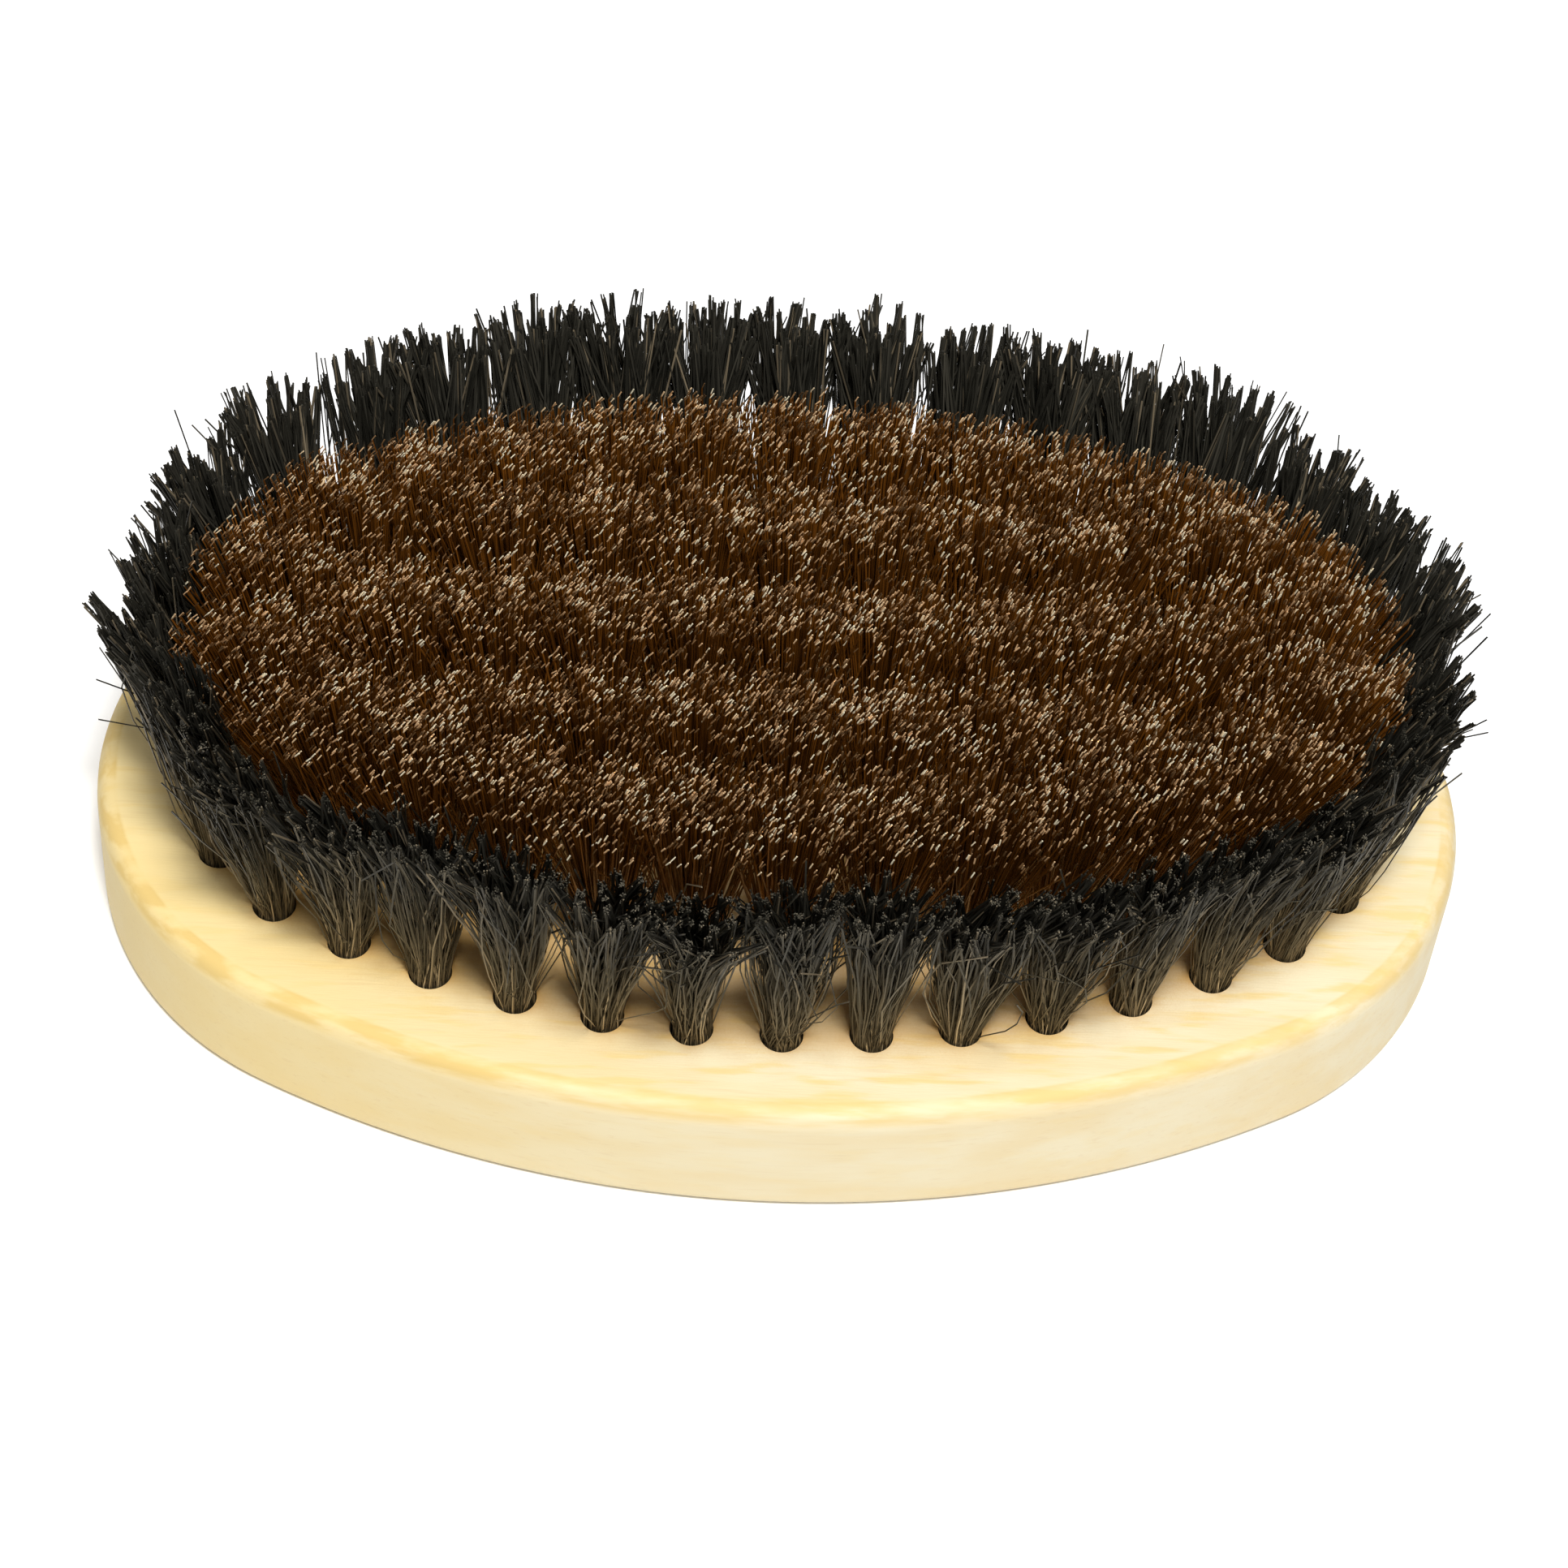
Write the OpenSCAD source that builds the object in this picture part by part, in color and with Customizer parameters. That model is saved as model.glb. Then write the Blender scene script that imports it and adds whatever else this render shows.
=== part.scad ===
// Oval palm brush for a beard: a beech block, a ring of dark boar tufts near its edge, and a field
// of fine bronze wire tufts inside the ring. Every tuft is a bundle folded in half over a flat
// anchor, which is driven to the bottom of a blind hole.
// The block lies on its flat back. The origin is the centre of that back face, +X runs along the
// block, +Y across it, and +Z points to the bristle tips.

/* [Block] */
// Length of the block
block_l = 120; // [119:1:130]
// Width of the block
block_w = 73; // [72:0.5:75]
// Thickness of the block
block_t = 13; // [11:0.5:18]
// Radius of the outline's two round ends
end_r = 29; // [28:0.5:30]
// Rounding of the edge on the bristle side
bristle_side_round = 2; // [1:0.25:3]
// Rounding of the edge around the back face
back_round = 1.25; // [0.5:0.25:2]

/* [Tufts] */
// Diameter of the blind tuft holes, which is also a bundle's diameter at its root
hole_d = 3.6; // [3:0.1:4]
// Depth of the blind tuft holes
hole_depth = 8.5; // [6:0.5:9]
// Height of the trimmed tips above the block
trim_h = 23; // [16:0.5:26]
// Diameter of a fanned tuft at its trimmed tips
tip_d = 6.6; // [5:0.1:6.9]
// Height of the straight, tight collar above the block before a tuft fans out
collar_h = 1; // [0.8:0.1:2]

/* [Boar ring] */
// Distance from the block's edge to the centres of the boar tufts
ring_inset = 8.6; // [8.4:0.1:9]
// Number of boar tufts around the ring
boar_count = 34; // [30:2:34]
// How far the boar tips lean outward from their roots
boar_lean = 3.7; // [3.2:0.1:4]

/* [Wire field] */
// Number of wire tufts in the oval just inside the boar ring
wire_oval_count = 26; // [26:2:28]
// How far the tips of that oval lean outward from their roots
wire_oval_lean = 3; // [2.9:0.1:3.4]
// Distance between neighbouring tufts in the straight rows
row_pitch = 8; // [7.9:0.05:8.1]
// Number of tufts in the middle row
middle_row_count = 9; // [5:2:9]
// Number of tufts in each of the two rows beside the middle row
side_row_count = 7; // [3:1:7]
// How far a side row's tips lean outward across the block
row_lean = 1.5; // [1.3:0.1:1.6]
// Spread of a row's tips along the block, as a share of each root's distance from the middle
row_spread = 0.075; // [0.05:0.005:0.08]

/* [Anchors] */
// Width of an anchor, which bites a little into the wood on both sides of its hole
anchor_w = 4; // [3.8:0.1:4.4]
// Height of an anchor
anchor_h = 1.8; // [1.2:0.1:2.2]
// Thickness of an anchor's sheet
anchor_t = 0.4; // [0.3:0.05:0.6]
// Thickness of the folded bristles under an anchor
fold_h = 0.8; // [0.6:0.1:1.2]

/* [Hidden] */
// The outline is four arcs: two ends of radius end_r and two flatter sides of radius side_r,
// which meet where the line through their centres crosses the outline.
half_l = block_l / 2;
half_w = block_w / 2;
end_centre = half_l - end_r;
side_r = (end_centre * end_centre + half_w * half_w - end_r * end_r) / (2 * (half_w - end_r));
side_centre = side_r - half_w;
// The side sectors reach past the middle of the block, so the four sectors leave no gap.
side_inner_r = side_centre - end_r / 3;
// Half the angle that a side arc covers, and half the angle that an end arc covers
side_half_angle = atan2(end_centre, side_centre);
end_half_angle = 90 - side_half_angle;

// Rows of roots are evenly spaced across the block, from the boar ring to the middle row.
rows_apart = (half_w - ring_inset) / 3;
wire_oval_inset = ring_inset + rows_apart;

trim_z = block_t + trim_h;
// The anchors sit on the fold, measured down from the mouth of the hole.
anchor_z = fold_h + anchor_h / 2 - hole_depth;
// Angle from a tuft's lean to the line where its turned surface closes
seam_turn = 50;
// Flats that round each edge of the block, and facets of the curves
edge_steps = 2;
$fn = 96;
outline_fn = 360;

boar_names = [for (i = [1 : boar_count]) str("boar_tuft_", i < 10 ? "0" : "", i)];

// --- The oval, and places along it -----------------------------------------------------------

// Length of an arc of the given radius and angle
function arc_length(r, angle) = r * angle * PI / 180;

// Angle that a length covers on an arc of the given radius
function arc_angle(r, length) = length / r * 180 / PI;

// Whether an outward direction belongs to one of the round ends
function on_end(angle) = abs(cos(angle)) > sin(side_half_angle);

// Point of the outline, moved in by inset, where the outward direction is angle
function oval_point(angle, inset) =
    let (centre = on_end(angle) ? [sign(cos(angle)) * end_centre, 0]
                                : [0, -sign(sin(angle)) * side_centre])
    let (r = (on_end(angle) ? end_r : side_r) - inset)
    centre + r * [cos(angle), sin(angle)];

// Outward direction at a share of the way around the oval, starting at the middle of the right end
function oval_angle(share, inset) =
    let (r_end = end_r - inset)
    let (r_side = side_r - inset)
    let (half_end = arc_length(r_end, end_half_angle))
    let (side = arc_length(r_side, 2 * side_half_angle))
    let (s = share * (4 * half_end + 2 * side))
    s < half_end ? arc_angle(r_end, s)
    : s < half_end + side ? end_half_angle + arc_angle(r_side, s - half_end)
    : s < 3 * half_end + side ? 180 - end_half_angle + arc_angle(r_end, s - half_end - side)
    : s < 3 * half_end + 2 * side ? 180 + end_half_angle + arc_angle(r_side, s - 3 * half_end - side)
    : 360 - end_half_angle + arc_angle(r_end, s - 3 * half_end - 2 * side);

// A tuft is [root point, lean of its tips]. Tufts on an oval are evenly spaced and lean outward.
function oval_tufts(count, inset, lean) = [
    for (i = [0 : count - 1])
    let (angle = oval_angle((i + 0.5) / count, inset))
    [oval_point(angle, inset), lean * [cos(angle), sin(angle)]]
];

// Tufts in a straight row, centred on the middle of the block
function row_tufts(count, y, lean) = [
    for (i = [0 : count - 1])
    let (x = (i - (count - 1) / 2) * row_pitch)
    [[x, y], [row_spread * x, lean]]
];

boar_tufts = oval_tufts(boar_count, ring_inset, boar_lean);
wire_oval_tufts = oval_tufts(wire_oval_count, wire_oval_inset, wire_oval_lean);
wire_back_row = row_tufts(side_row_count, rows_apart, row_lean);
wire_middle_row = row_tufts(middle_row_count, 0, 0);
wire_front_row = row_tufts(side_row_count, -rows_apart, -row_lean);
wire_tufts = concat(wire_oval_tufts, wire_back_row, wire_middle_row, wire_front_row);

// The tufts of a list whose lean points along x (an end of the oval) or along y (a side of it)
function leaning_x(tufts, way) = [for (t = tufts) if (way * t[1].x > abs(t[1].y)) t];
function leaning_y(tufts, way) = [for (t = tufts) if (way * t[1].y >= abs(t[1].x)) t];

// --- Block -----------------------------------------------------------------------------------

// Points that round a corner of the edge profile, from one angle over a quarter turn
function quarter_round(centre, r, from) = [
    for (i = [0 : edge_steps])
    let (angle = from + 90 * i / edge_steps)
    centre + r * [cos(angle), sin(angle)]
];

// Cross-section of the block from an inner radius out to its rounded edge
function edge_profile(inner, outer) = concat(
    [[inner, 0]],
    quarter_round([outer - back_round, back_round], back_round, -90),
    quarter_round([outer - bristle_side_round, block_t - bristle_side_round], bristle_side_round, 0),
    [[inner, block_t]]
);

// The part of the block under one arc of the outline, which is turned about that arc's centre
module block_sector(centre, inner, outer, middle_angle, half_angle) {
    translate(centre)
        rotate([0, 0, middle_angle - half_angle])
            rotate_extrude(angle = 2 * half_angle, $fn = outline_fn)
                polygon(edge_profile(inner, outer));
}

module blank_block() {
    for (way = [1, -1]) {
        block_sector([way * end_centre, 0], 0, end_r, 90 - way * 90, end_half_angle);
        block_sector([0, -way * side_centre], side_inner_r, side_r, way * 90, side_half_angle);
    }
}

// Puts a shape at a tuft's hole: origin at the mouth, +Z along the hole, leaning the way it does
module at_tuft(tuft) {
    translate([tuft[0].x, tuft[0].y, block_t])
        rotate(a = atan2(norm(tuft[1]), trim_h), v = [-tuft[1].y, tuft[1].x, 0])
            children();
}

module tuft_hole() {
    translate([0, 0, -hole_depth])
        cylinder(d = hole_d, h = hole_depth + collar_h);
}

module handle_block() {
    color("burlywood")
        difference() {
            blank_block();
            for (tuft = concat(boar_tufts, wire_tufts))
                at_tuft(tuft) {
                    tuft_hole();
                    anchor();
                }
        }
}

// --- Anchors ---------------------------------------------------------------------------------

module anchor() {
    translate([0, 0, anchor_z])
        cube([anchor_t, anchor_w, anchor_h], center = true);
}

module anchors(tufts) {
    color("silver")
        for (tuft = tufts)
            at_tuft(tuft)
                anchor();
}

// --- Tufts -----------------------------------------------------------------------------------

// A bundle about its own axis: a tight root in the hole, a short collar, and a fan of bristles
// that is longer than its trimmed height. It is turned so its surface starts beside its lean.
module untrimmed_bundle(lean) {
    fan_top = trim_h + tip_d;
    spread = (tip_d - hole_d) / 2 / (trim_h - collar_h);
    rotate([0, 0, atan2(lean.y, lean.x) + seam_turn])
        rotate_extrude()
            polygon([
                [0, -hole_depth],
                [hole_d / 2, -hole_depth],
                [hole_d / 2, collar_h],
                [hole_d / 2 + spread * (fan_top - collar_h), fan_top],
                [0, fan_top]
            ]);
}

// A bundle in its hole, with a slot for the anchor it is folded over, trimmed level
module tuft(place) {
    difference() {
        at_tuft(place)
            difference() {
                untrimmed_bundle(place[1]);
                anchor();
            }
        translate([place[0].x - 2 * tip_d, place[0].y - 2 * tip_d, trim_z])
            cube([4 * tip_d, 4 * tip_d, 2 * tip_d]);
    }
}

module boar_tuft(number) {
    color("#2a2725")
        tuft(boar_tufts[number]);
}

module wire_group(tufts) {
    color("#6e4a2c")
        for (place = tufts)
            tuft(place);
}

// --- Nodes -----------------------------------------------------------------------------------

handle_block();
for (i = [0 : boar_count - 1])
    boar_tuft(i);
wire_group(leaning_y(wire_oval_tufts, 1));  // wire_oval_back
wire_group(leaning_x(wire_oval_tufts, -1));  // wire_oval_left
wire_group(leaning_y(wire_oval_tufts, -1));  // wire_oval_front
wire_group(leaning_x(wire_oval_tufts, 1));  // wire_oval_right
wire_group(wire_back_row);  // wire_row_back
wire_group(wire_middle_row);  // wire_row_middle
wire_group(wire_front_row);  // wire_row_front
anchors(boar_tufts);  // boar_anchors
anchors(wire_tufts);  // wire_anchors
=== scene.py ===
"""The looks of the palm brush: a beech block, boar bristle tufts and bronze wire tufts."""

import math

import bmesh
import bpy
import numpy as np
from mathutils import Matrix, Vector


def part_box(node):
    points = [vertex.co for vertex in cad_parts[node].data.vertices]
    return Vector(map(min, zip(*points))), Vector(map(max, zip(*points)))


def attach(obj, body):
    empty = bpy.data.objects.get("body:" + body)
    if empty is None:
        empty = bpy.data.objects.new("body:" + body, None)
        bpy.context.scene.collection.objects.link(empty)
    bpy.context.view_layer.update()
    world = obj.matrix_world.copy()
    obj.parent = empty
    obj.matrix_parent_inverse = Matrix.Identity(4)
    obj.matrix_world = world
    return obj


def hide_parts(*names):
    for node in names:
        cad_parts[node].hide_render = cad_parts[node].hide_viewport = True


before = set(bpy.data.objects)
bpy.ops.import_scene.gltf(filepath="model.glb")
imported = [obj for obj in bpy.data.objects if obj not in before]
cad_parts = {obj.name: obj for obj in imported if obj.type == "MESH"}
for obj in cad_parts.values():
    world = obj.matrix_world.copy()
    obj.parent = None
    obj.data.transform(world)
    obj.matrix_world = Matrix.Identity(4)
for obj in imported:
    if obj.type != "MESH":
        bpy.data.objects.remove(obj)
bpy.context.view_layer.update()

MM = 0.001
SEED = 20

# --- Sizes ----------------------------------------------------------------------------------
# A pair is the least and the most of a random number. A name with UNEVEN in it is the standard
# deviation of one.

# Block: the outline is four arcs, as in the CAD model
END_RADIUS = 29 * MM
TOP_ROUND = 2 * MM
BACK_ROUND = 1.25 * MM
ROUND_STEPS = 8
OUTLINE_STEP = 1 * MM
SMOOTH_BELOW = math.radians(40)

# Blind tuft holes
HOLE_RADIUS = 1.85 * MM
HOLE_DEPTH = 8.5 * MM
HOLE_SIDES = 40

# Bundles of bristle or wire: where they fold over their anchor, and their size in the hole
FOLD_DEPTH = 7.5 * MM
BUNDLE_RADIUS = 1.72 * MM

# Boar bristles. The rings are shares of the height above the block.
BOAR_COUNT = 500
BOAR_ROOT_RADIUS = 0.05 * MM
BOAR_TIP_RADIUS = 0.088 * MM
BOAR_THICKNESS = (0.75, 1.15)
BOAR_SIDES = 3
BOAR_RINGS = (0, 0.12, 0.28, 0.48, 0.72, 1)

# A boar tuft's fan: its spread at the tips, outward and along the edge of the block. The sweep
# is how much further it leans across the brush than the CAD tuft, the flare is how late a
# bristle starts to lean, and the tallest tip stands this far above the trim.
BOAR_SPREAD_OUT = 2.9 * MM
BOAR_SPREAD_ALONG = 5.3 * MM
BOAR_SPREAD_TIMES = (0.8, 1.05)
BOAR_CROSSING_UNEVEN = 0.22
BOAR_SIDE_SWEEP = 1.8 * MM
BOAR_FLARE = (1.4, 2.5)
BOAR_TALLEST = 2.5 * MM

# Whole tufts, then the locks that their tips gather in, then single bristles, then strays
TUFT_SHIFT_UNEVEN = 0.6 * MM
TUFT_HEIGHT = -0.2 * MM
TUFT_HEIGHT_UNEVEN = 0.45 * MM
LOCK_COUNT = 38
LOCK_GATHER = 0.66
LOCK_HEIGHT_UNEVEN = 0.55 * MM
LOCK_BOW_UNEVEN = 0.6 * MM
BRISTLE_HEIGHT_UNEVEN = 0.2 * MM
BRISTLE_BOW_UNEVEN = 0.45 * MM
BRISTLE_PATH_UNEVEN = 0.17 * MM
STRAY_SHARE = 0.045
STRAY_SPREAD_UNEVEN = 1.4 * MM
STRAY_HEIGHT = -2 * MM
STRAY_HEIGHT_UNEVEN = 2 * MM
STRAY_BOW_TIMES = 2.2

# Bronze wires. A wire whose tip is a reach away from its tuft's middle starts near the edge
# of the hole, and its tip is lower by the sag.
WIRE_TOTAL = 18000
WIRE_RADIUS = 0.07 * MM
WIRE_THICKNESS = (0.85, 1.15)
WIRE_SIDES = 4
WIRE_RINGS = (0, 0.2, 0.55, 1)
WIRE_REACH = 6 * MM
WIRE_CROSSING_UNEVEN = 1.7 * MM
WIRE_ROOT_UNEVEN = 0.12
WIRE_ROOT_LIMIT = 0.8
WIRE_FLARE = (0.75, 1.3)
WIRE_BOW_UNEVEN = 0.2 * MM
WIRE_SAG = 1.2 * MM
WIRE_HEIGHT_UNEVEN = 0.4 * MM

# The last piece of each wire, swept aside by trimming. Slopes are steps sideways or backward
# for each step up, and the fan is how fast the sideways one falls along the brush.
HOOK_LENGTH = 0.6 * MM
HOOK_LENGTH_TIMES = (0.8, 1.1)
HOOK_SLOPE_SIDE = 0.5
HOOK_SLOPE_BACK = 0.05
HOOK_SLOPE_UNEVEN = 0.14
HOOK_FAN_PER_METRE = 4

# The field of wire tips. Its edge is inset from the block's, less at the ends than at the
# sides, and moved forward. It thins out between the rows of tufts, where gaps along a row
# count for less than gaps between rows.
FIELD_INSET_SIDE = 9.2 * MM
FIELD_INSET_END = 7.0 * MM
FIELD_FORWARD = 0.8 * MM
FIELD_EDGE_UNEVEN = 0.4 * MM
FIELD_ROW_REACH = 3.9 * MM
FIELD_GAP_ALONG = 0.45
FIELD_THINNEST = 0.12
FIELD_TRIES_PER_WIRE = 10

# The photograph's viewing angle
CAMERA_ELEVATION = math.radians(50)
CAMERA_YAW = math.radians(3.88)
CAMERA_ROLL = math.radians(5.38)
CAMERA_DISTANCE = 0.372
CAMERA_SIDE = 0.88 * MM
CAMERA_RISE = 7.87 * MM
CAMERA_LENS_MM = 94.4
SENSOR_MM = 36

# Studio: a white sky, one soft light above the front of the brush, and a floor
SKY_STRENGTH = 0.4
KEY_PLACE = (0.05, -0.34, 0.83)
KEY_TARGET = (0, 0, 0.02)
KEY_SIZE = 0.16
KEY_WATTS = 9.2
FLOOR_HALF = 3.0

BOAR_NODES = sorted(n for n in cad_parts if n.startswith("boar_tuft"))
WIRE_NODES = sorted(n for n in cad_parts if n.startswith(("wire_oval", "wire_row")))

_, block_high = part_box("handle_block")
HALF_LENGTH, HALF_WIDTH, BLOCK_TOP = block_high


# --- Mesh helpers ---------------------------------------------------------------------------


def unit(vectors):
    """The vectors, each at length one."""
    return vectors / np.linalg.norm(vectors, axis=-1, keepdims=True)


def new_object(name, vertices, faces):
    """An object with a mesh of these vertices and faces."""
    mesh = bpy.data.meshes.new(name)
    mesh.from_pydata(vertices, [], faces)
    mesh.validate()
    obj = bpy.data.objects.new(name, mesh)
    bpy.context.collection.objects.link(obj)
    return obj


def add_point_values(obj, name, values):
    """Stores one number at each vertex, for a material to read."""
    layer = obj.data.attributes.new(name, "FLOAT", "POINT")
    layer.data.foreach_set("value", np.asarray(values, dtype=np.float32).ravel())


def finish_piece(obj, material, slot, *nodes):
    """Gives a piece its material, hides the CAD nodes it stands for, and attaches it to the root
    body.
    """
    obj.data.materials.append(material)
    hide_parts(*nodes)
    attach(obj, "root")


# --- Block ----------------------------------------------------------------------------------


END_CENTRE = HALF_LENGTH - END_RADIUS
SIDE_RADIUS = (END_CENTRE**2 + HALF_WIDTH**2 - END_RADIUS**2) / (2 * (HALF_WIDTH - END_RADIUS))
SIDE_CENTRE = SIDE_RADIUS - HALF_WIDTH
SIDE_HALF_ANGLE = math.atan2(END_CENTRE, SIDE_CENTRE)
END_HALF_ANGLE = math.pi / 2 - SIDE_HALF_ANGLE


def outline(inset):
    """Points around the four-arc oval, moved in from the block's edge, counter-clockwise."""
    arcs = (
        (0, (END_CENTRE, 0), END_RADIUS, END_HALF_ANGLE),
        (math.pi / 2, (0, -SIDE_CENTRE), SIDE_RADIUS, SIDE_HALF_ANGLE),
        (math.pi, (-END_CENTRE, 0), END_RADIUS, END_HALF_ANGLE),
        (-math.pi / 2, (0, SIDE_CENTRE), SIDE_RADIUS, SIDE_HALF_ANGLE),
    )
    points = []
    for middle, centre, radius, half in arcs:
        steps = round(2 * half * radius / OUTLINE_STEP)
        angles = middle + np.linspace(-half, half, steps, endpoint=False)
        directions = np.column_stack((np.cos(angles), np.sin(angles)))
        points.append(np.array(centre) + (radius - inset) * directions)
    return np.concatenate(points)


def edge_depth(points):
    """How far each point is inside the block's edge, seen from above."""
    x, y = np.abs(points).T
    at_end = (x - END_CENTRE) * math.tan(END_HALF_ANGLE) > y
    from_end = END_RADIUS - np.hypot(x - END_CENTRE, y)
    from_side = SIDE_RADIUS - np.hypot(x, y + SIDE_CENTRE)
    return np.where(at_end, from_end, from_side)


def edge_profile():
    """(inset, height) of each ring of the block's side, from the back face to the bristle face."""
    quarter = np.linspace(0, math.pi / 2, ROUND_STEPS + 1)
    lower = [(BACK_ROUND * (1 - math.sin(a)), BACK_ROUND * (1 - math.cos(a))) for a in quarter]
    upper = [
        (TOP_ROUND * (1 - math.cos(a)), BLOCK_TOP - TOP_ROUND * (1 - math.sin(a)))
        for a in quarter
    ]
    return lower + upper


def solid_block():
    """The block before it is drilled: rings swept up its side, and two flat faces."""
    rings = []
    for inset, height in edge_profile():
        points = outline(inset)
        rings.append(np.column_stack((points, np.full(len(points), height))))
    count = len(rings[0])
    last_ring = (len(rings) - 1) * count
    faces = [tuple(reversed(range(count)))]
    for low in range(0, last_ring, count):
        high = low + count
        for i in range(count):
            j = (i + 1) % count
            faces.append((low + i, low + j, high + j, high + i))
    faces.append(tuple(range(last_ring, last_ring + count)))
    return new_object("beech_block", np.concatenate(rings), faces)


def tuft_drills(tufts):
    """One object of all the drills. Each lies along its tuft's own axis."""
    bm = bmesh.new()
    for mouth, tip in tufts:
        axis = Vector(tip - mouth).normalized()
        turn = axis.to_track_quat("Z", "Y").to_matrix().to_4x4()
        # A drill stands out of the block by its radius, so that a tilted one clears the face.
        middle = Vector(mouth) + axis * (HOLE_RADIUS - HOLE_DEPTH) / 2
        bmesh.ops.create_cone(
            bm,
            cap_ends=True,
            segments=HOLE_SIDES,
            radius1=HOLE_RADIUS,
            radius2=HOLE_RADIUS,
            depth=HOLE_DEPTH + HOLE_RADIUS,
            matrix=Matrix.Translation(middle) @ turn,
        )
    mesh = bpy.data.meshes.new("drills")
    bm.to_mesh(mesh)
    bm.free()
    drills = bpy.data.objects.new("drills", mesh)
    bpy.context.collection.objects.link(drills)
    return drills


def make_block(tufts):
    """The block with its blind tuft holes, smooth over its rounded edges."""
    block = solid_block()
    drills = tuft_drills(tufts)
    cut = block.modifiers.new("holes", "BOOLEAN")
    cut.operation = "DIFFERENCE"
    cut.solver = "EXACT"
    cut.object = drills
    drilled = block.evaluated_get(bpy.context.evaluated_depsgraph_get())
    block.data = bpy.data.meshes.new_from_object(drilled)
    block.modifiers.clear()
    bpy.data.objects.remove(drills)
    block.data.shade_smooth()
    block.data.set_sharp_from_angle(angle=SMOOTH_BELOW)
    return block


# --- Where the tufts are --------------------------------------------------------------------


def solids(node):
    """The corner points of each separate solid of a CAD node."""
    same_point = 0.001 * MM
    bm = bmesh.new()
    bm.from_mesh(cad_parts[node].data)
    bmesh.ops.remove_doubles(bm, verts=bm.verts, dist=same_point)
    waiting = set(bm.verts)
    found = []
    while waiting:
        reached = [waiting.pop()]
        for vertex in reached:
            for edge in vertex.link_edges:
                other = edge.other_vert(vertex)
                if other in waiting:
                    waiting.remove(other)
                    reached.append(other)
        found.append(np.array([v.co for v in reached]))
    bm.free()
    return sorted(found, key=lambda points: tuple(points.mean(axis=0).round(5)))


def middle_of(points):
    """The middle of the points' box."""
    return (points.min(axis=0) + points.max(axis=0)) / 2


def tuft_axis(points):
    """(mouth, tip): where a tuft solid's axis leaves the block, and where it is trimmed."""
    # The foot is cut square to a leaning axis, so it isn't level. The tip is.
    foot_height = 0.6 * MM
    tip_height = 0.01 * MM
    heights = points[:, 2]
    foot = middle_of(points[heights < heights.min() + foot_height])
    tip = middle_of(points[heights > heights.max() - tip_height])
    mouth = foot + (tip - foot) * (BLOCK_TOP - foot[2]) / (tip[2] - foot[2])
    return mouth, tip


def tufts_of(node):
    """(mouth, tip) of each tuft in a CAD node."""
    return [tuft_axis(points) for points in solids(node)]


# --- Strands --------------------------------------------------------------------------------


def strand_rings(paths, radii, sides, turns):
    """Vertices of thin tubes. paths is (strand, ring, 3), radii (strand, ring)."""
    tangents = unit(np.gradient(paths, axis=1))
    reference = np.column_stack((np.cos(turns), np.sin(turns), np.zeros(len(turns))))
    first = unit(np.cross(tangents, reference[:, None, :]))
    second = np.cross(tangents, first)
    angles = 2 * math.pi * np.arange(sides) / sides
    around = (
        first[:, :, None, :] * np.cos(angles)[None, None, :, None]
        + second[:, :, None, :] * np.sin(angles)[None, None, :, None]
    )
    return paths[:, :, None, :] + radii[:, :, None, None] * around


def strand_faces(strands, rings, sides):
    """Side faces of every tube, and the cut at each end."""
    quads = []
    for ring in range(rings - 1):
        for side in range(sides):
            a = ring * sides + side
            b = ring * sides + (side + 1) % sides
            quads.append((a, b, b + sides, a + sides))
    foot = np.arange(sides)[::-1]
    end = np.arange(sides) + (rings - 1) * sides
    starts = np.arange(strands)[:, None, None] * rings * sides
    tube_faces = (np.array(quads) + starts).reshape(-1, 4)
    cut_faces = (np.stack((foot, end)) + starts).reshape(-1, sides)
    return tube_faces.tolist() + cut_faces.tolist()


def make_strands(rng, name, paths, radii, sides):
    """One object of many strands, with what its material reads: tone and length below the tip."""
    strands, rings = radii.shape
    tone = rng.random(strands)
    turns = rng.uniform(0, 2 * math.pi, strands)
    vertices = strand_rings(paths, radii, sides, turns)
    obj = new_object(name, vertices.reshape(-1, 3), strand_faces(strands, rings, sides))
    steps = np.linalg.norm(np.diff(paths, axis=1), axis=2)
    below_tip = np.zeros((strands, rings))
    below_tip[:, :-1] = np.cumsum(steps[:, ::-1], axis=1)[:, ::-1]
    add_point_values(obj, "below_tip", np.repeat(below_tip, sides, axis=1))
    add_point_values(obj, "tone", np.repeat(tone, rings * sides))
    return obj


def bundle_paths(feet, ends, rings, flare, bow):
    """Strands that rise straight out of the block and then fan out to their ends.

    rings are shares of the way up from mouth to tip; flare is how late each strand starts to
    lean; bow is how far its middle swings aside.
    """
    rise = np.tile(rings, (len(feet), 1))
    lean = rise ** flare[:, None]
    progress = np.stack((lean, lean, rise), axis=2)
    above = feet[:, None, :] + (ends - feet)[:, None, :] * progress
    above[:, :, :2] += bow[:, None, :] * np.sin(math.pi * rise)[:, :, None]
    below = feet - np.array((0, 0, FOLD_DEPTH))
    return np.concatenate((below[:, None, :], above), axis=1)


def nearest(points, choices):
    """For each point, which of the choices is nearest, and how far it is."""
    gaps = np.linalg.norm(points[:, None, :] - choices[None, :, :], axis=2)
    return gaps.argmin(axis=1), gaps.min(axis=1)


# --- Boar bristles --------------------------------------------------------------------------


def disc_points(rng, count):
    """Points spread evenly over a disc of radius one."""
    radius = np.sqrt(rng.random(count))
    angle = 2 * math.pi * rng.random(count)
    return np.column_stack((radius * np.cos(angle), radius * np.sin(angle)))


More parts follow.
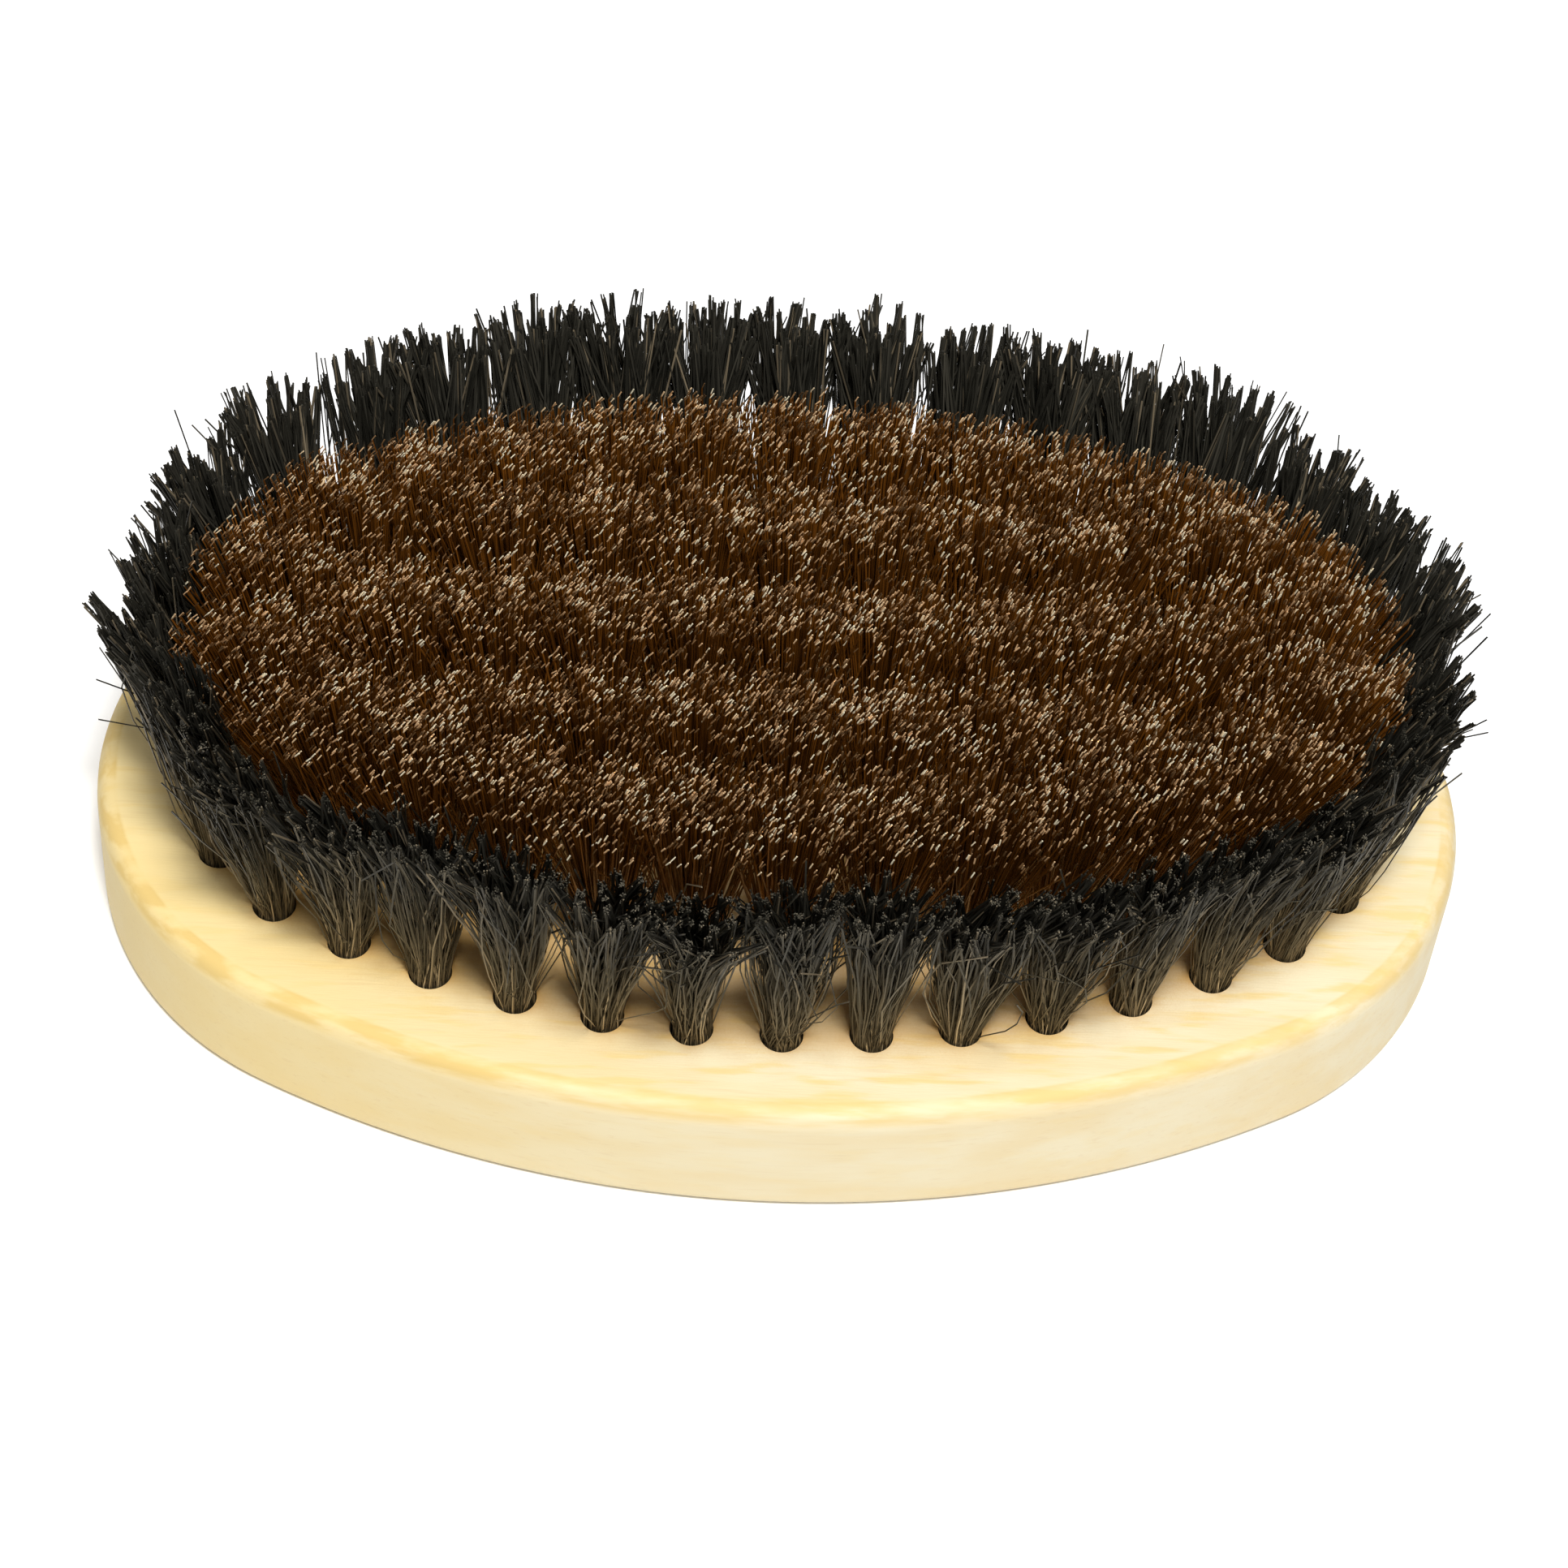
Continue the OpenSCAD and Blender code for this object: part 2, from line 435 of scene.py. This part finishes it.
def lean_directions(mouth, tip):
    """Unit vectors, seen from above: out, the way a tuft leans, and along, square to it."""
    out = unit((tip - mouth)[:2])
    along = np.array((-out[1], out[0]))
    return out, along


def boar_tuft(rng, name, mouth, tip):
    """One tuft of boar bristles: a tight foot that fans out into locks, and a few strays."""
    count = BOAR_COUNT
    disc = disc_points(rng, count)
    out, along = lean_directions(mouth, tip)
    feet = np.tile(mouth, (count, 1))
    feet[:, :2] += BUNDLE_RADIUS * disc

    # Where the tips are, outward and along the block's edge
    local = np.column_stack((disc @ out, disc @ along))
    local += rng.normal(0, BOAR_CROSSING_UNEVEN, (count, 2))
    places = local * (BOAR_SPREAD_OUT, BOAR_SPREAD_ALONG * rng.uniform(*BOAR_SPREAD_TIMES))
    lock, _ = nearest(places, places[:LOCK_COUNT])
    places += LOCK_GATHER * (places[lock] - places) + rng.normal(0, TUFT_SHIFT_UNEVEN, 2)
    stray = rng.random(count) < STRAY_SHARE
    places[stray] += rng.normal(0, STRAY_SPREAD_UNEVEN, (stray.sum(), 2))
    ends = np.tile(tip, (count, 1))
    ends[:, :2] += places[:, :1] * out + places[:, 1:] * along
    ends[:, 1] += BOAR_SIDE_SWEEP * out[1]

    # How high they stand
    ends[:, 2] += rng.normal(TUFT_HEIGHT, TUFT_HEIGHT_UNEVEN)
    lock_height = rng.normal(0, LOCK_HEIGHT_UNEVEN, LOCK_COUNT)
    ends[:, 2] += lock_height[lock] + rng.normal(0, BRISTLE_HEIGHT_UNEVEN, count)
    ends[stray, 2] += rng.normal(STRAY_HEIGHT, STRAY_HEIGHT_UNEVEN, stray.sum())
    ends[:, 2] = np.minimum(ends[:, 2], tip[2] + BOAR_TALLEST)

    # The way up to them
    lock_bow = rng.normal(0, LOCK_BOW_UNEVEN, (LOCK_COUNT, 2))
    bow = lock_bow[lock] + rng.normal(0, BRISTLE_BOW_UNEVEN, (count, 2))
    bow[stray] *= STRAY_BOW_TIMES
    paths = bundle_paths(feet, ends, BOAR_RINGS, rng.uniform(*BOAR_FLARE, count), bow)
    free_middle = paths[:, 3:-1, :2]
    free_middle += rng.normal(0, BRISTLE_PATH_UNEVEN, free_middle.shape)
    taper = np.linspace(BOAR_ROOT_RADIUS, BOAR_TIP_RADIUS, paths.shape[1])
    radii = taper * rng.uniform(*BOAR_THICKNESS, (count, 1))
    return make_strands(rng, name, paths, radii, BOAR_SIDES)


# --- Bronze wires ---------------------------------------------------------------------------


def wire_tips(rng, tips):
    """Places of all the wires' tips: close over the rows of tufts, thinner between the rows."""
    limits = np.array((HALF_LENGTH, HALF_WIDTH))
    places = rng.uniform(-limits, limits, (FIELD_TRIES_PER_WIRE * WIRE_TOTAL, 2))
    end_share = (places[:, 0] / HALF_LENGTH) ** 2
    inset = FIELD_INSET_SIDE + (FIELD_INSET_END - FIELD_INSET_SIDE) * end_share
    depth = edge_depth(places + np.array((0, FIELD_FORWARD)))
    inside = depth > inset + rng.normal(0, FIELD_EDGE_UNEVEN, len(places))
    weights = np.array((FIELD_GAP_ALONG, 1.0))
    _, gap = nearest(places * weights, tips * weights)
    chance = FIELD_THINNEST + (1 - FIELD_THINNEST) * np.exp(-((gap / FIELD_ROW_REACH) ** 2))
    return places[inside & (rng.random(len(places)) < chance)][:WIRE_TOTAL]


def wire_hooks(rng, places):
    """The last piece of each wire, swept to the right, most of all at the brush's left end."""
    count = len(places)
    fan = HOOK_SLOPE_SIDE - HOOK_FAN_PER_METRE * places[:, 0]
    slope_side = fan + rng.normal(0, HOOK_SLOPE_UNEVEN, count)
    slope_back = rng.normal(HOOK_SLOPE_BACK, HOOK_SLOPE_UNEVEN, count)
    directions = unit(np.column_stack((slope_side, slope_back, np.ones(count))))
    return directions * (HOOK_LENGTH * rng.uniform(*HOOK_LENGTH_TIMES, (count, 1)))


def wire_paths(rng, places, mouth, tip):
    """Wires of one tuft, from its foot up to their places in the field."""
    count = len(places)
    offset = places - tip[:2]
    reach = np.linalg.norm(offset, axis=1) / WIRE_REACH
    root = unit(offset) * np.clip(reach, 0, 1)[:, None]
    root += rng.normal(0, WIRE_ROOT_UNEVEN, (count, 2))
    feet = np.tile(mouth, (count, 1))
    feet[:, :2] += BUNDLE_RADIUS * np.clip(root, -WIRE_ROOT_LIMIT, WIRE_ROOT_LIMIT)
    ends = np.column_stack((places, np.full(count, tip[2])))
    dip = np.abs(rng.normal(0, WIRE_HEIGHT_UNEVEN, count))
    ends[:, 2] -= HOOK_LENGTH + WIRE_SAG * reach**2 + dip
    flare = rng.uniform(*WIRE_FLARE, count)
    bow = rng.normal(0, WIRE_BOW_UNEVEN, (count, 2))
    paths = bundle_paths(feet, ends, WIRE_RINGS, flare, bow)
    hooked_tips = paths[:, -1:, :] + wire_hooks(rng, places)[:, None, :]
    return np.concatenate((paths, hooked_tips), axis=1)


def wire_group(rng, name, bundles):
    """One object of all the wires of a row or arc of tufts."""
    paths = np.concatenate(bundles)
    count, rings = paths.shape[:2]
    radii = np.full((count, rings), WIRE_RADIUS) * rng.uniform(*WIRE_THICKNESS, (count, 1))
    return make_strands(rng, name, paths, radii, WIRE_SIDES)


def make_wires(rng, material, tufts_by_node):
    """All the wires. Each belongs to the tuft whose tip is nearest, apart from some crossing."""
    tufts = [tuft for node_tufts in tufts_by_node.values() for tuft in node_tufts]
    tips = np.array([tip[:2] for _, tip in tufts])
    places = wire_tips(rng, tips)
    crossed = places + rng.normal(0, WIRE_CROSSING_UNEVEN, places.shape)
    owner, _ = nearest(crossed, tips)
    bundles = [wire_paths(rng, places[owner == i], *tuft) for i, tuft in enumerate(tufts)]
    next_bundle = iter(bundles)
    for node, node_tufts in tufts_by_node.items():
        own_bundles = [next(next_bundle) for _ in node_tufts]
        group = wire_group(rng, f"wires_{node}", own_bundles)
        finish_piece(group, material, "bronze_wire", node)


# --- Materials ------------------------------------------------------------------------------


class Nodes:
    """Short calls for building a material's node tree."""

    def __init__(self, name):
        self.material = bpy.data.materials.new(name)
        self.material.use_nodes = True
        self.tree = self.material.node_tree
        self.shader = self.tree.nodes["Principled BSDF"]

    def add(self, kind, **settings):
        """A new node with these settings."""
        node = self.tree.nodes.new(kind)
        for key, value in settings.items():
            setattr(node, key, value)
        return node

    def feed(self, socket, value):
        """Gives a socket its value: another node's output, a colour (r, g, b) or a number."""
        if isinstance(value, bpy.types.NodeSocket):
            self.tree.links.new(value, socket)
        elif isinstance(value, tuple):
            socket.default_value = (*value, 1)
        else:
            socket.default_value = value

    def set(self, **values):
        """Feeds the shader's own inputs. An underscore in a name stands for a space."""
        for name, value in values.items():
            self.feed(self.shader.inputs[name.replace("_", " ")], value)

    def attribute(self, name):
        """A number stored at the vertices."""
        return self.add("ShaderNodeAttribute", attribute_name=name).outputs["Fac"]

    def times(self, first, second):
        """The product of two numbers."""
        node = self.add("ShaderNodeMath", operation="MULTIPLY")
        self.feed(node.inputs[0], first)
        self.feed(node.inputs[1], second)
        return node.outputs[0]

    def remap(self, value, low, high, to_low=0.0, to_high=1.0):
        """value between low and high becomes a number between to_low and to_high."""
        node = self.add("ShaderNodeMapRange", interpolation_type="SMOOTHSTEP")
        self.feed(node.inputs["Value"], value)
        self.feed(node.inputs["From Min"], low)
        self.feed(node.inputs["From Max"], high)
        self.feed(node.inputs["To Min"], to_low)
        self.feed(node.inputs["To Max"], to_high)
        return node.outputs["Result"]

    def ramp(self, value, *stops):
        """Colours along a value. Each stop is (position, (r, g, b))."""
        node = self.add("ShaderNodeValToRGB")
        elements = node.color_ramp.elements
        while len(elements) < len(stops):
            elements.new(1)
        for element, (position, colour) in zip(elements, stops):
            element.position = position
            element.color = (*colour, 1)
        self.feed(node.inputs["Fac"], value)
        return node.outputs["Color"]

    def mix(self, share, first, second, blend="MIX"):
        """second over first by a share."""
        # A mix node has sockets for every type of data. For colours, 0 is the share, 6 and 7
        # are what is mixed, and output 2 is the result.
        node = self.add("ShaderNodeMix", data_type="RGBA", blend_type=blend)
        self.feed(node.inputs[0], share)
        self.feed(node.inputs[6], first)
        self.feed(node.inputs[7], second)
        return node.outputs[2]

    def place(self):
        """Where a point is in its piece's own frame."""
        return self.add("ShaderNodeTexCoord").outputs["Object"]

    def part(self, vector, axis):
        """The X, Y or Z of a vector."""
        node = self.add("ShaderNodeSeparateXYZ")
        self.feed(node.inputs[0], vector)
        return node.outputs[axis]

    def noise(self, per_metre, detail):
        """Noise with its own scale along x, y and z, in waves per metre."""
        stretch = self.add("ShaderNodeMapping", vector_type="POINT")
        stretch.inputs["Scale"].default_value = per_metre
        self.feed(stretch.inputs["Vector"], self.place())
        node = self.add("ShaderNodeTexNoise")
        self.feed(node.inputs["Scale"], 1)
        self.feed(node.inputs["Detail"], detail)
        self.feed(node.inputs["Vector"], stretch.outputs["Vector"])
        return node.outputs["Fac"]

    def bump(self, height, distance):
        """Fine relief, too small to be in the mesh."""
        node = self.add("ShaderNodeBump")
        self.feed(node.inputs["Distance"], distance)
        self.feed(node.inputs["Height"], height)
        self.feed(self.shader.inputs["Normal"], node.outputs["Normal"])


def beech():
    """Pale beech: soft yellow streaks along the grain, deeper to the left and on its edge."""
    cream = (0.79, 0.69, 0.46)
    straw = (0.77, 0.63, 0.37)
    yellow = (0.79, 0.60, 0.24)
    honey = (0.78, 0.59, 0.25)
    line_brown = (0.62, 0.42, 0.20)
    edge_brown = (0.70, 0.50, 0.18)
    # painted shade between the tufts
    painted_shade_brown = (0.52, 0.27, 0.06)
    # painted shade for the side faces
    painted_side_shade = (0.86, 0.87, 0.90)
    n = Nodes("beech")
    up = n.part(n.add("ShaderNodeNewGeometry").outputs["Normal"], "Z")
    left = n.remap(n.part(n.place(), "X"), 5 * MM, -50 * MM)

    # Broad changes of tone, then streaks and fine lines along the grain
    broad = n.remap(n.noise((45, 220, 220), detail=3), 0.36, 0.66)
    wood = n.mix(broad, cream, straw)
    wood = n.mix(n.times(left, 0.7), wood, yellow)
    streaks = n.remap(n.noise((120, 850, 850), detail=4), 0.48, 0.68)
    streak_share = n.remap(up, 0.3, 0.9, 0.2, 0.8)
    wood = n.mix(n.times(streaks, streak_share), wood, honey)
    lines = n.remap(n.noise((160, 3200, 3200), detail=3), 0.55, 0.75)
    wood = n.mix(n.times(lines, 0.18), wood, line_brown)

    # Darker patches on the rounding between the side and the bristle face
    rounding = n.times(n.remap(up, 0.15, 0.6), n.remap(up, 0.99995, 0.98))
    patches = n.remap(n.noise((90, 340, 900), detail=4), 0.36, 0.60, 0.1, 0.7)
    patches = n.times(patches, n.remap(left, 0, 1, 1, 1.7))
    wood = n.mix(n.times(rounding, patches), wood, edge_brown)

    # Painted shade: a warm brown on the bristle face where the tufts close it in, taken from
    # ambient occlusion
    hollow = n.add("ShaderNodeAmbientOcclusion", samples=8)
    n.feed(hollow.inputs["Distance"], 12 * MM)
    painted_shade_share = n.remap(hollow.outputs["AO"], 0.56, 0.3)
    wood = n.mix(n.times(painted_shade_share, n.remap(up, 0.3, 0.9)), wood, painted_shade_brown)

    # Painted shade: the side faces darker and a little cooler than the bristle face
    wood = n.mix(n.remap(up, 0.999, 0.5), wood, painted_side_shade, "MULTIPLY")
    n.set(Base_Color=wood, Roughness=0.6, Specular_IOR_Level=0.25)
    n.bump(n.noise((500, 5000, 5000), detail=4), 0.02 * MM)
    return n.material


def boar():
    """Boar bristle: olive-brown at the foot, near black at the tip, a few hairs tan."""
    n = Nodes("boar_bristle")
    tone = n.attribute("tone")
    shaft = n.ramp(
        tone,
        (0, (0.04, 0.030, 0.015)),
        (0.75, (0.14, 0.103, 0.053)),
        (0.92, (0.24, 0.174, 0.09)),
        (0.97, (0.50, 0.37, 0.20)),
    )
    tip = n.ramp(
        tone,
        (0, (0.005, 0.005, 0.004)),
        (0.9, (0.028, 0.026, 0.020)),
        (0.98, (0.14, 0.11, 0.07)),
    )
    to_foot = n.remap(n.attribute("below_tip"), 5 * MM, 25 * MM)
    n.set(
        Base_Color=n.mix(to_foot, tip, shaft),
        Roughness=0.5,
        Specular_IOR_Level=0.3,
        Specular_Tint=(1.0, 0.88, 0.65),
    )
    return n.material


def bronze():
    """Bronze wire: amber shafts, and worn ends of many shades, bare metal brightened by painted
    glints in some places.
    """
    n = Nodes("bronze_wire")
    # Painted glints: patches across the field where the wires are brighter or darker, as if more
    # or fewer ends caught the light
    painted_glint_patches = n.remap(n.noise((260, 260, 0), detail=3), 0.36, 0.64, 0.55, 1.15)
    tone = n.times(n.attribute("tone"), painted_glint_patches)
    shaft = n.ramp(tone, (0, (0.075, 0.024, 0.003)), (1, (0.27, 0.095, 0.012)))
    # The ends are bare metal, lighter than the shafts; their lightest tones are painted glints
    tip = n.ramp(
        tone,
        (0, (0.05, 0.026, 0.010)),
        (0.36, (0.24, 0.13, 0.055)),
        (0.56, (0.80, 0.50, 0.26)),
        (0.72, (1.0, 0.74, 0.44)),
        (0.86, (1.0, 0.90, 0.65)),
    )
    at_tip = n.remap(n.attribute("below_tip"), 0.66 * MM, 0.4 * MM)
    n.set(
        Base_Color=n.mix(at_tip, shaft, tip),
        Metallic=0.4,
        Roughness=0.24,
        Specular_IOR_Level=0.3,
        Specular_Tint=(1, 0.75, 0.5),
    )
    return n.material


def anchor_steel():
    """Flat drawn wire, faintly lined along its length."""
    n = Nodes("anchor_wire")
    lines = n.noise((4000, 300, 4000), detail=2)
    grey = n.ramp(lines, (0.3, (0.5, 0.5, 0.48)), (0.7, (0.72, 0.72, 0.70)))
    n.set(Base_Color=grey, Metallic=1.0, Roughness=0.3)
    return n.material


def floor_white():
    """A plain matt white."""
    n = Nodes("floor")
    n.set(Base_Color=(0.95, 0.95, 0.95), Roughness=1.0)
    return n.material


# --- Stage ----------------------------------------------------------------------------------


def make_floor():
    """The floor that the brush lies on."""
    half = FLOOR_HALF
    corners = [(-half, -half, 0), (half, -half, 0), (half, half, 0), (-half, half, 0)]
    floor = new_object("floor", corners, [(0, 1, 2, 3)])
    floor.data.materials.append(floor_white())


def make_camera():
    """The camera, looking at the brush from the photograph's angle."""
    back = Vector((
        -math.sin(CAMERA_YAW) * math.cos(CAMERA_ELEVATION),
        -math.cos(CAMERA_YAW) * math.cos(CAMERA_ELEVATION),
        math.sin(CAMERA_ELEVATION),
    ))
    right = Vector((math.cos(CAMERA_YAW), -math.sin(CAMERA_YAW), 0))
    up = back.cross(right)
    rolled_right = math.cos(CAMERA_ROLL) * right + math.sin(CAMERA_ROLL) * up
    rolled_up = back.cross(rolled_right)
    place = CAMERA_SIDE * rolled_right + CAMERA_RISE * rolled_up + CAMERA_DISTANCE * back
    turn = Matrix((rolled_right, rolled_up, back)).transposed().to_4x4()
    data = bpy.data.cameras.new("camera")
    data.sensor_width = SENSOR_MM
    data.lens = CAMERA_LENS_MM
    camera = bpy.data.objects.new("camera", data)
    bpy.context.collection.objects.link(camera)
    camera.matrix_world = Matrix.Translation(place) @ turn
    bpy.context.scene.camera = camera


def make_lights():
    """The white sky, and a soft square light that faces the brush."""
    world = bpy.data.worlds.new("studio")
    bpy.context.scene.world = world
    world.use_nodes = True
    sky = world.node_tree.nodes["Background"]
    sky.inputs["Color"].default_value = (1, 1, 1, 1)
    sky.inputs["Strength"].default_value = SKY_STRENGTH
    data = bpy.data.lights.new("key", "AREA")
    data.size = KEY_SIZE
    data.energy = KEY_WATTS
    key = bpy.data.objects.new("key", data)
    key.location = KEY_PLACE
    aim = Vector(KEY_TARGET) - Vector(KEY_PLACE)
    key.rotation_euler = aim.to_track_quat("-Z", "Y").to_euler()
    bpy.context.collection.objects.link(key)


# --- The brush ------------------------------------------------------------------------------

bpy.context.scene.view_settings.view_transform = "Standard"
rng = np.random.default_rng(SEED)
boar_tufts = {node: tufts_of(node)[0] for node in BOAR_NODES}
wire_tufts = {node: tufts_of(node) for node in WIRE_NODES}
all_tufts = list(boar_tufts.values())
for node_tufts in wire_tufts.values():
    all_tufts += node_tufts

finish_piece(make_block(all_tufts), beech(), "beech", "handle_block")

boar_material = boar()
for node, (mouth, tip) in boar_tufts.items():
    tuft = boar_tuft(rng, f"bristles_{node}", mouth, tip)
    finish_piece(tuft, boar_material, "boar_bristle", node)

make_wires(rng, bronze(), wire_tufts)

anchor_material = anchor_steel()
for node in ("boar_anchors", "wire_anchors"):
    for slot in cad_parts[node].material_slots:
        slot.material = anchor_material

make_floor()
make_camera()
make_lights()
